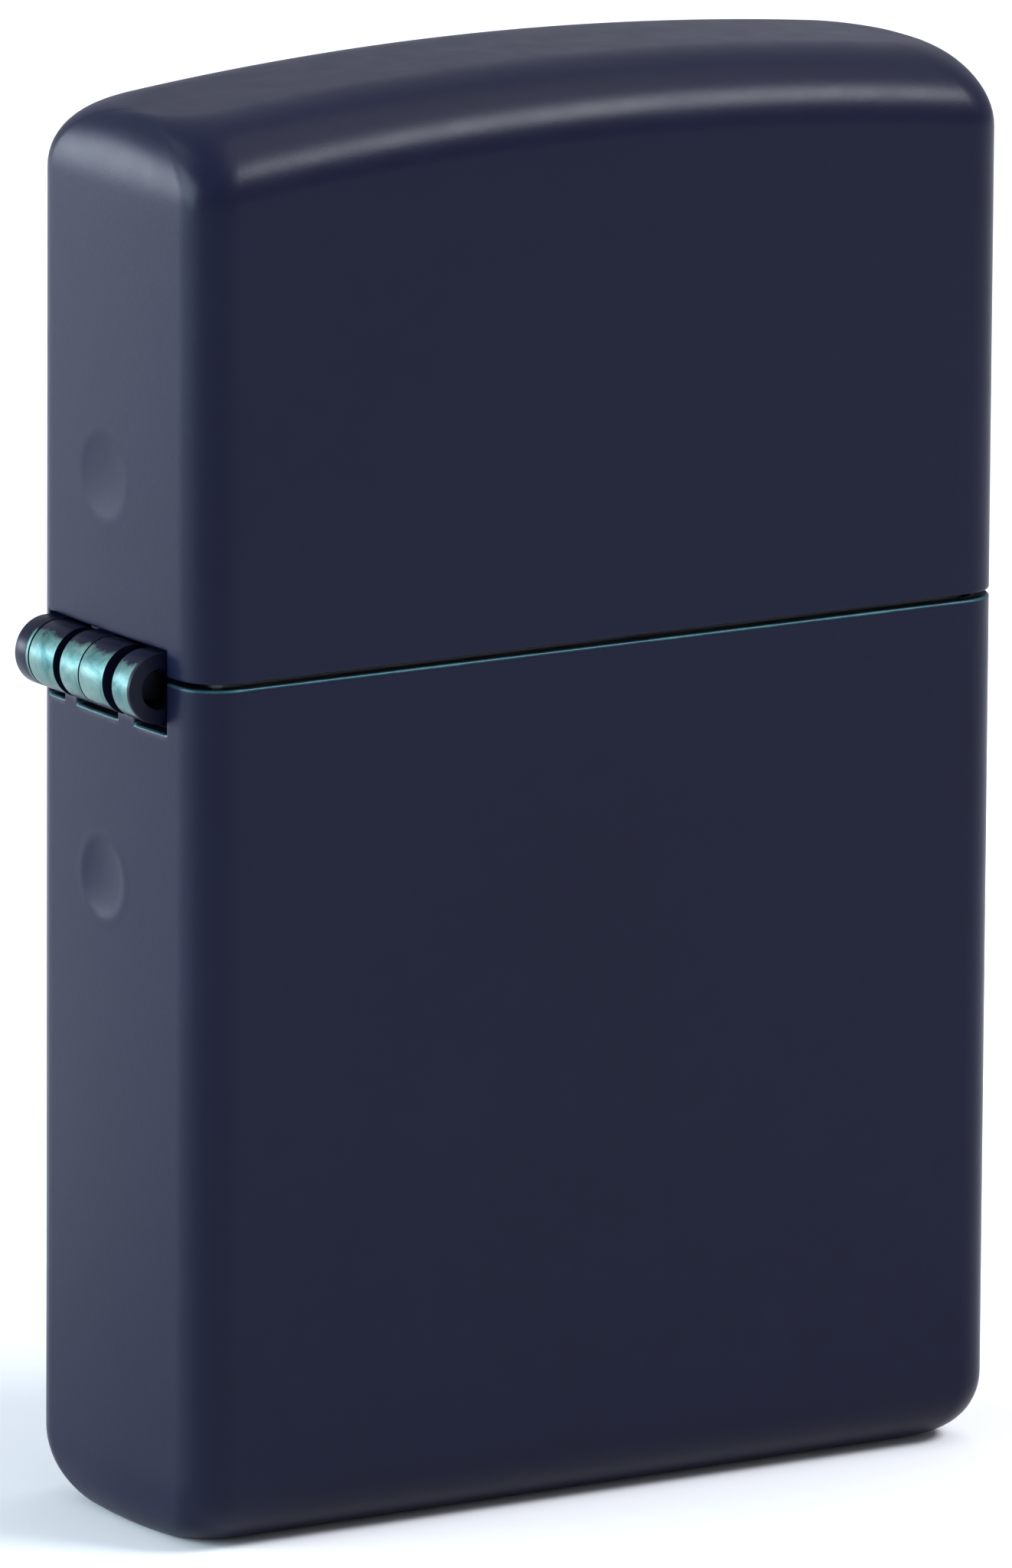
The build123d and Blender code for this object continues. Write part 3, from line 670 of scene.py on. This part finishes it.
def base_leaf():
    parts = []
    bm = bmesh.new()
    zt = HZ - 0.8
    pts = [(PL0, NOTCH), (PL0, 25.2)]
    n = 8
    pts += [(PL0 + 1.2 - 1.2 * math.cos(t), 24.0 + 1.2 - 1.2 * math.sin(t)) for t in [math.pi / 2 * i / n for i in range(1, n + 1)]]
    pts += [(PL1 - 1.2 + 1.2 * math.sin(t), 24.0 + 1.2 - 1.2 * math.cos(t)) for t in [math.pi / 2 * i / n for i in range(n + 1)]]
    pts += [(PL1, NOTCH)]
    for n0, n1 in BASE_NECK:
        pts += [(n1, NOTCH), (n1, zt), (n0, zt), (n0, NOTCH)]
    plate_solid(bm, pts, WALL_IN, PLATE_IN)
    parts.append(bm)
    for (y0, y1), (n0, n1) in zip(BASE_KN, BASE_NECK):
        k = bmesh.new()
        ring_outline(k, 0.78, y0, y1)
        parts.append(k)
        k = bmesh.new()
        s = HZ - BARREL_R
        prism(k, [(HX + 0.05, s + 0.004), (WALL_IN + 0.3, s + 0.004), (WALL_IN + 0.3, s + 0.6), (HX + 0.05, s + 0.6)], n0, n1)
        parts.append(k)
    bm = union(parts)
    bevel_sharp(bm, 0.07, 3)
    bmesh.ops.scale(bm, vec=(MM, MM, MM), verts=bm.verts)
    return to_object(bm, "hinge_leaf_lower", [HINGE], "base", ("hinge_leaf_bottom",))


lid_leaf()
base_leaf()

# ------------------------------------------------------------------ spark wheel
def tri(t):
    t = t % 1.0
    return 1.0 - abs(2.0 * t - 1.0)


def ring_mesh(bm, rings):
    """Quads between closed rings of equal length, and the last ring back to the first."""
    rows = [[bm.verts.new(p) for p in r] for r in rings]
    n = len(rows[0])
    for i in range(len(rows)):
        a, b = rows[i], rows[(i + 1) % len(rows)]
        for j in range(n):
            k = (j + 1) % n
            bm.faces.new((a[j], a[k], b[k], b[j]))
    return rows


def spark_wheel():
    wx, wz, hw, r_max, root = 11.7, 42.6, 2.7, 3.25, 2.93
    na, ny, teeth = 432, 54, 36
    prof = []
    for i in range(ny + 1):
        y = -hw + 2 * hw * i / ny
        prof.append((y, True))
    rings = []

    def ring(y, fr):
        return [(wx + fr(t) * math.cos(t), y, wz + fr(t) * math.sin(t)) for t in [2 * math.pi * j / na for j in range(na)]]

    for y, r in ((-hw + 0.22, 1.05), (-hw + 0.10, 1.12), (-hw + 0.10, 1.75), (-hw, 1.90), (-hw, 2.62)):
        rings.append(ring(y, lambda t, r=r: r))
    for y, _ in prof:
        lim = r_max - 0.42 + 1.1 * (hw - abs(y))

        def fr(t, y=y, lim=lim):
            u = t * teeth / (2 * math.pi)
            a, b = tri(u + 0.95 * y), tri(u - 0.95 * y)
            h = min(1.0, 1.25 * min(a, b)) ** 0.85
            saw = 0.15 * (1 - (u % 1.0))
            return min(lim, root + (r_max - root) * min(1.0, h + saw * (h > 0.15)))

        rings.append(ring(y, fr))
    for y, r in ((hw, 2.62), (hw, 1.90), (hw - 0.10, 1.75), (hw - 0.10, 1.12), (hw - 0.22, 1.05)):
        rings.append(ring(y, lambda t, r=r: r))
    bm = bmesh.new()
    ring_mesh(bm, rings)
    bmesh.ops.recalc_face_normals(bm, faces=bm.faces)
    bmesh.ops.scale(bm, vec=(MM, MM, MM), verts=bm.verts)
    return to_object(bm, "spark_wheel_knurled", [WHEELM], "wheel", ("spark_wheel",), sharp=28, weighted=False)


# ------------------------------------------------------------------ wick
def tube(bm, path, radius, n=6, mat=0):
    """Closed tube along a list of points, tapering if radius is a list."""
    rows = []
    up = Vector((0.13, 0.27, 0.95)).normalized()
    for i, p in enumerate(path):
        t = (path[min(i + 1, len(path) - 1)] - path[max(i - 1, 0)]).normalized()
        s = t.cross(up)
        s = s.normalized() if s.length > 1e-4 else t.orthogonal().normalized()
        u = s.cross(t)
        r = radius[i] if isinstance(radius, list) else radius
        rows.append([bm.verts.new(p + (s * math.cos(2 * math.pi * k / n) + u * math.sin(2 * math.pi * k / n)) * r) for k in range(n)])
    faces = [bm.faces.new(list(reversed(rows[0]))), bm.faces.new(rows[-1])]
    for a, b in zip(rows, rows[1:]):
        for k in range(n):
            m = (k + 1) % n
            faces.append(bm.faces.new((a[k], a[m], b[m], b[k])))
    for f in faces:
        f.material_index = mat


def wick():
    rnd = random.Random(11)
    cx, z0, z1, rad = 2.0, 12.0, 45.9, 1.45
    na, pitch, strands = 72, 1.75, 6
    rows = []
    bm = bmesh.new()
    nz = int((z1 - z0) / 0.11)
    for i in range(nz + 1):
        z = z0 + (z1 - z0) * i / nz
        row = []
        for j in range(na):
            t = 2 * math.pi * j / na
            a = t * strands / (2 * math.pi) + z / pitch
            b = t * strands / (2 * math.pi) - z / pitch
            ha = abs(math.sin(math.pi * a)) ** 0.6 * (0.6 + 0.4 * math.cos(math.pi * (b - 0.5) + math.pi * math.floor(a)))
            hb = abs(math.sin(math.pi * b)) ** 0.6 * (0.6 - 0.4 * math.cos(math.pi * (a - 0.5) + math.pi * math.floor(b)))
            n = noise.noise(Vector((math.cos(t) * 2.2, math.sin(t) * 2.2, z * 1.6)))
            r = rad - 0.17 + 0.15 * max(ha, hb) + 0.03 * n
            row.append(bm.verts.new((cx + r * math.cos(t), r * math.sin(t), z)))
        rows.append(row)
    # domed, ragged end
    for k in range(1, 9):
        p = math.pi / 2 * k / 9
        row = []
        for j in range(na):
            t = 2 * math.pi * j / na
            r = (rad - 0.1) * math.cos(p) * (1 + 0.06 * noise.noise(Vector((math.cos(t) * 3, math.sin(t) * 3, k))))
            z = z1 + 0.32 * math.sin(p) + 0.10 * noise.noise(Vector((r * math.cos(t) * 4, r * math.sin(t) * 4, 7.0)))
            row.append(bm.verts.new((cx + r * math.cos(t), r * math.sin(t), z)))
        rows.append(row)
    bm.faces.new(list(reversed(rows[0])))
    bm.faces.new(rows[-1])
    for a, b in zip(rows, rows[1:]):
        for j in range(na):
            k = (j + 1) % na
            bm.faces.new((a[j], a[k], b[k], b[j]))
    # loose yarn ends
    for _ in range(46):
        t, q = rnd.uniform(0, 2 * math.pi), math.sqrt(rnd.random()) * (rad - 0.15)
        p0 = Vector((cx + q * math.cos(t), q * math.sin(t), z1 + 0.02))
        lean = Vector((math.cos(t), math.sin(t), 0)) * rnd.uniform(0.0, 0.25) + Vector((rnd.uniform(-0.1, 0.1), rnd.uniform(-0.1, 0.1), 0))
        length = rnd.uniform(0.35, 0.75)
        path = [p0 + Vector((0, 0, length * s)) + lean * s * s for s in (0, 0.25, 0.5, 0.75, 1.0)]
        tube(bm, path, [0.055, 0.055, 0.05, 0.04, 0.02], 6)
    # fine copper wires that run along with the braid
    for c in (0.5, 2.5, 4.5):
        path = []
        z = z0 + 0.2
        while z < z1 - 0.1:
            t = (c - z / pitch) * 2 * math.pi / strands
            path.append(Vector((cx + (rad - 0.03) * math.cos(t), (rad - 0.03) * math.sin(t), z)))
            z += 0.22
        tube(bm, path, 0.05, 6, 1)
    bmesh.ops.recalc_face_normals(bm, faces=bm.faces)
    bmesh.ops.scale(bm, vec=(MM, MM, MM), verts=bm.verts)
    return to_object(bm, "wick_braided", [COTTON, COPPER], "base", ("wick",), sharp=60, weighted=False)


# ------------------------------------------------------------------ packing and felt
def soft_block(x0, x1, y0, y1, z0, z1, power, seg, amp, scale, seed):
    """Closed rounded block with uneven skin that stays inside its box."""
    bm = bmesh.new()
    hx, hy, hz = (x1 - x0) / 2, (y1 - y0) / 2, (z1 - z0) / 2
    cx, cy, cz = (x0 + x1) / 2, (y0 + y1) / 2, (z0 + z1) / 2
    nx, ny, nz = [max(3, int(2 * h / seg)) for h in (hx, hy, hz)]
    grid = {}

    def vert(i, j, k):
        key = (i, j, k)
        if key not in grid:
            p = [2 * i / nx - 1, 2 * j / ny - 1, 2 * k / nz - 1]
            # squeeze the cube towards a superellipsoid
            m = max(abs(c) for c in p)
            q = (sum(abs(c) ** power for c in p)) ** (1 / power)
            s = m / q
            v = Vector((p[0] * s * hx, p[1] * s * hy, p[2] * s * hz))
            w = Vector((v.x, v.y, v.z)) * scale + Vector((seed, seed * 1.7, 0))
            d = 0.5 + 0.5 * (0.65 * noise.noise(w) + 0.35 * noise.noise(w * 2.7))
            n = Vector((p[0] ** 5 / hx, p[1] ** 5 / hy, p[2] ** 5 / hz))
            n = n.normalized() if n.length > 1e-9 else Vector((0, 0, 1))
            v -= n * amp * max(0.0, min(1.0, d))
            grid[key] = bm.verts.new((cx + v.x, cy + v.y, cz + v.z))
        return grid[key]

    for i in range(nx):
        for j in range(ny):
            for k in (0, nz):
                q = [vert(i, j, k), vert(i + 1, j, k), vert(i + 1, j + 1, k), vert(i, j + 1, k)]
                bm.faces.new(q if k else q[::-1])
    for i in range(nx):
        for k in range(nz):
            for j in (0, ny):
                q = [vert(i, j, k), vert(i + 1, j, k), vert(i + 1, j, k + 1), vert(i, j, k + 1)]
                bm.faces.new(q[::-1] if j else q)
    for j in range(ny):
        for k in range(nz):
            for i in (0, nx):
                q = [vert(i, j, k), vert(i, j + 1, k), vert(i, j + 1, k + 1), vert(i, j, k + 1)]
                bm.faces.new(q if i else q[::-1])
    bmesh.ops.recalc_face_normals(bm, faces=bm.faces)
    return bm


def cylinder_z(x, y, r, z0, z1, n=64):
    bm = bmesh.new()
    a = [bm.verts.new((x + r * math.cos(2 * math.pi * i / n), y + r * math.sin(2 * math.pi * i / n), z0)) for i in range(n)]
    b = [bm.verts.new((v.co.x, v.co.y, z1)) for v in a]
    bm.faces.new(a[::-1])
    bm.faces.new(b)
    for i in range(n):
        j = (i + 1) % n
        bm.faces.new((a[i], a[j], b[j], b[i]))
    return bm


def block(x0, x1, y0, y1, z0, z1):
    bm = bmesh.new()
    bmesh.ops.create_cube(bm, size=1.0)
    for v in bm.verts:
        v.co = Vector(((x0 + x1) / 2 + v.co.x * (x1 - x0), (y0 + y1) / 2 + v.co.y * (y1 - y0), (z0 + z1) / 2 + v.co.z * (z1 - z0)))
    return bm


def carve(bm, cutters):
    """Boolean difference of closed bmeshes."""
    objs = []
    for k, b in enumerate([bm] + cutters):
        bmesh.ops.recalc_face_normals(b, faces=b.faces)
        me = bpy.data.meshes.new("c%d" % k)
        b.to_mesh(me)
        b.free()
        ob = bpy.data.objects.new("c%d" % k, me)
        scene.collection.objects.link(ob)
        objs.append(ob)
    for o in objs[1:]:
        md = objs[0].modifiers.new("b", "BOOLEAN")
        md.operation = "DIFFERENCE"
        md.solver = "EXACT"
        md.object = o
    dg = bpy.context.evaluated_depsgraph_get()
    res = bpy.data.meshes.new_from_object(objs[0].evaluated_get(dg))
    out = bmesh.new()
    out.from_mesh(res)
    for o in objs:
        me = o.data
        bpy.data.objects.remove(o)
        bpy.data.meshes.remove(me)
    bpy.data.meshes.remove(res)
    return out


def packing():
    whole = bmesh.new()
    step = (34.9 - 5.1) / 5
    for i in range(5):
        z0, z1 = 5.1 + i * step + 0.05, 5.1 + (i + 1) * step - 0.05
        bm = soft_block(-16.3, 16.85, -4.9, 4.9, z0, z1, 5.0, 0.5, 0.55, 0.42, 3.1 + i)
        cut = [cylinder_z(11.7, 0, 2.02, 0, 40)]
        if z1 > 12:
            cut.append(cylinder_z(2.0, 0, 1.57, max(z0 - 1, 11.85), 40))
        if z1 > 31.2:
            cut.append(block(-4.6 - 0.35 - 0.2, -4.6 + 0.2, -1.9, 1.9, 31.2, 40))
        bm = carve(bm, cut)
        me = bpy.data.meshes.new("p")
        bm.to_mesh(me)
        bm.free()
        whole.from_mesh(me)
        bpy.data.meshes.remove(me)
    bmesh.ops.scale(whole, vec=(MM, MM, MM), verts=whole.verts)
    ob = to_object(whole, "rayon_balls", [RAYON], "base", ("rayon_packing",), sharp=50, weighted=False)
    return ob


def felt():
    bm = soft_block(-16.4, 16.95, -5.0, 5.0, 2.5, 4.9, 14.0, 0.35, 0.07, 1.6, 5.3)
    bm = carve(bm, [cylinder_z(11.7, 0, 3.35, 0, 10, 96)])
    bmesh.ops.scale(bm, vec=(MM, MM, MM), verts=bm.verts)
    ob = to_object(bm, "felt_pad_soft", [FELT], "base", ("felt_pad",), sharp=50, weighted=False)
    return ob


# ------------------------------------------------------------------ metal pieces with eased edges
def eased(node, name, mats, body="base", offset=0.05, angle=35, segments=2, flat=0.6):
    """The exact solid with its edges broken."""
    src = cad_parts[node]
    bm = bmesh.new()
    bm.from_mesh(src.data)
    bm.transform(src.matrix_world)
    bmesh.ops.scale(bm, vec=(1 / MM,) * 3, verts=bm.verts)
    bmesh.ops.remove_doubles(bm, verts=bm.verts, dist=1e-4)
    bmesh.ops.dissolve_limit(bm, angle_limit=math.radians(flat), verts=bm.verts, edges=bm.edges)
    bm.normal_update()
    es = [e for e in bm.edges if len(e.link_faces) == 2 and e.calc_face_angle(0.0) > math.radians(angle)]
    bmesh.ops.bevel(bm, geom=es, offset=offset, offset_type="OFFSET", segments=segments, profile=0.5, affect="EDGES", clamp_overlap=True)
    bmesh.ops.scale(bm, vec=(MM,) * 3, verts=bm.verts)
    return to_object(bm, name, mats, body, (node,), sharp=40)


spark_wheel()
wick()
packing()
felt()
eased("chimney", "chimney_screen", [STEEL_Z], offset=0.07)
eased("insert_deck", "insert_deck_plate", [STEEL_X], offset=0.06)
eased("insert_tank", "insert_tank_sleeve", [STEEL_X], offset=0.08)
eased("cam", "lid_cam_lever", [DARK], body="lid_cam", offset=0.10)
eased("cam_rivet", "cam_rivet_head", [STEEL_P], offset=0.05)
eased("wheel_rivet", "wheel_rivet_tube", [STEEL_P], offset=0.05)
eased("flint_screw", "flint_screw_slotted", [BRASS], offset=0.05)
eased("flint_tube", "flint_tube_drawn", [BRASS], offset=0.05)
eased("flint_pusher", "flint_pusher_brass", [BRASS], offset=0.08)
eased("cam_spring", "cam_leaf_spring", [SPRING], offset=0.05)
eased("hinge_pin", "hinge_pin_rod", [PIN_DARK_SHADE], offset=0.04)

# ------------------------------------------------------------------ CAD nodes that stay
for node, mat in {"flint": FLINT, "flint_spring": SPRING}.items():
    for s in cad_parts[node].material_slots:
        s.material = mat

# ------------------------------------------------------------------ floor, light, camera
me = bpy.data.meshes.new("floor")
s = 3.0
me.from_pydata([(-s, -s, 0), (s, -s, 0), (s, s, 0), (-s, s, 0)], [], [(0, 1, 2, 3)])
floor = bpy.data.objects.new("floor", me)
scene.collection.objects.link(floor)
fm = Mat("floor_paper")
fm.set(Roughness=0.9)
fm.to("Base Color", fm.ramp(fm.noise(3, 2), [(0.3, (0.71, 0.71, 0.71)), (0.7, (0.74, 0.74, 0.74))]))
me.materials.append(fm.m)


def area(name, loc, target, size, power, colour=(1, 1, 1), size_y=None):
    li = bpy.data.lights.new(name, "AREA")
    li.shape = "RECTANGLE"
    li.size = size
    li.size_y = size_y or size
    li.energy = power
    li.color = colour
    ob = bpy.data.objects.new(name, li)
    ob.location = loc
    ob.rotation_euler = (Vector(target) - Vector(loc)).to_track_quat("-Z", "Y").to_euler()
    scene.collection.objects.link(ob)
    return ob


mid = (0, 0, 0.03)
area("top_front", (0.46, -0.41, 0.68), mid, 0.42, 9.8, (0.90, 0.93, 1.0), 0.26)
area("overhead", (0.30, -0.10, 0.95), mid, 0.80, 2.4, (1.0, 0.99, 0.98), 0.50)
area("key_left", (-0.60, 0.20, 0.22), mid, 0.45, 7.4, (0.70, 0.88, 1.0), 0.40)
area("back_left", (-0.42, 0.60, 0.08), mid, 0.30, 2.6, (0.80, 0.88, 1.0), 0.16)
area("fill_left", (-0.40, 0.42, 0.70), mid, 0.45, 1.2, (0.86, 0.92, 1.0), 0.35)

world = bpy.data.worlds.new("world") if scene.world is None else scene.world
scene.world = world
world.use_nodes = True
bg = world.node_tree.nodes.get("Background") or world.node_tree.nodes.new("ShaderNodeBackground")
bg.inputs[0].default_value = (0.86, 0.89, 1.0, 1)
bg.inputs[1].default_value = 0.6

AZ, EL, ROLL, DIST, FPX, PX, PZ = -31.916, 12.322, 0.363, 746.2, 24837.6, 18.3, -29.1
a, e, r = math.radians(AZ), math.radians(EL), math.radians(ROLL)
back = Vector((math.sin(a) * math.cos(e), -math.cos(a) * math.cos(e), math.sin(e)))
right = (-back).cross(Vector((0, 0, 1))).normalized()
up = right.cross(-back)
r2 = right * math.cos(r) + up * math.sin(r)
u2 = -right * math.sin(r) + up * math.cos(r)
cam = bpy.data.cameras.new("camera")
cam.sensor_fit = "AUTO"
cam.sensor_width = 36.0
cam.lens = FPX / 2048 * 36.0
cam.shift_x = -PX / 2048
cam.shift_y = PZ / 2048
cam.clip_start = 0.01
cam.clip_end = 20
cob = bpy.data.objects.new("camera", cam)
scene.collection.objects.link(cob)
pos = Vector((0, 0, 0.0285)) + back * DIST * MM
cob.matrix_world = Matrix.Translation(pos) @ Matrix((
    (r2.x, u2.x, back.x), (r2.y, u2.y, back.y), (r2.z, u2.z, back.z))).to_4x4()
scene.camera = cob
scene.view_settings.view_transform = "Standard"
scene.view_settings.look = "None"
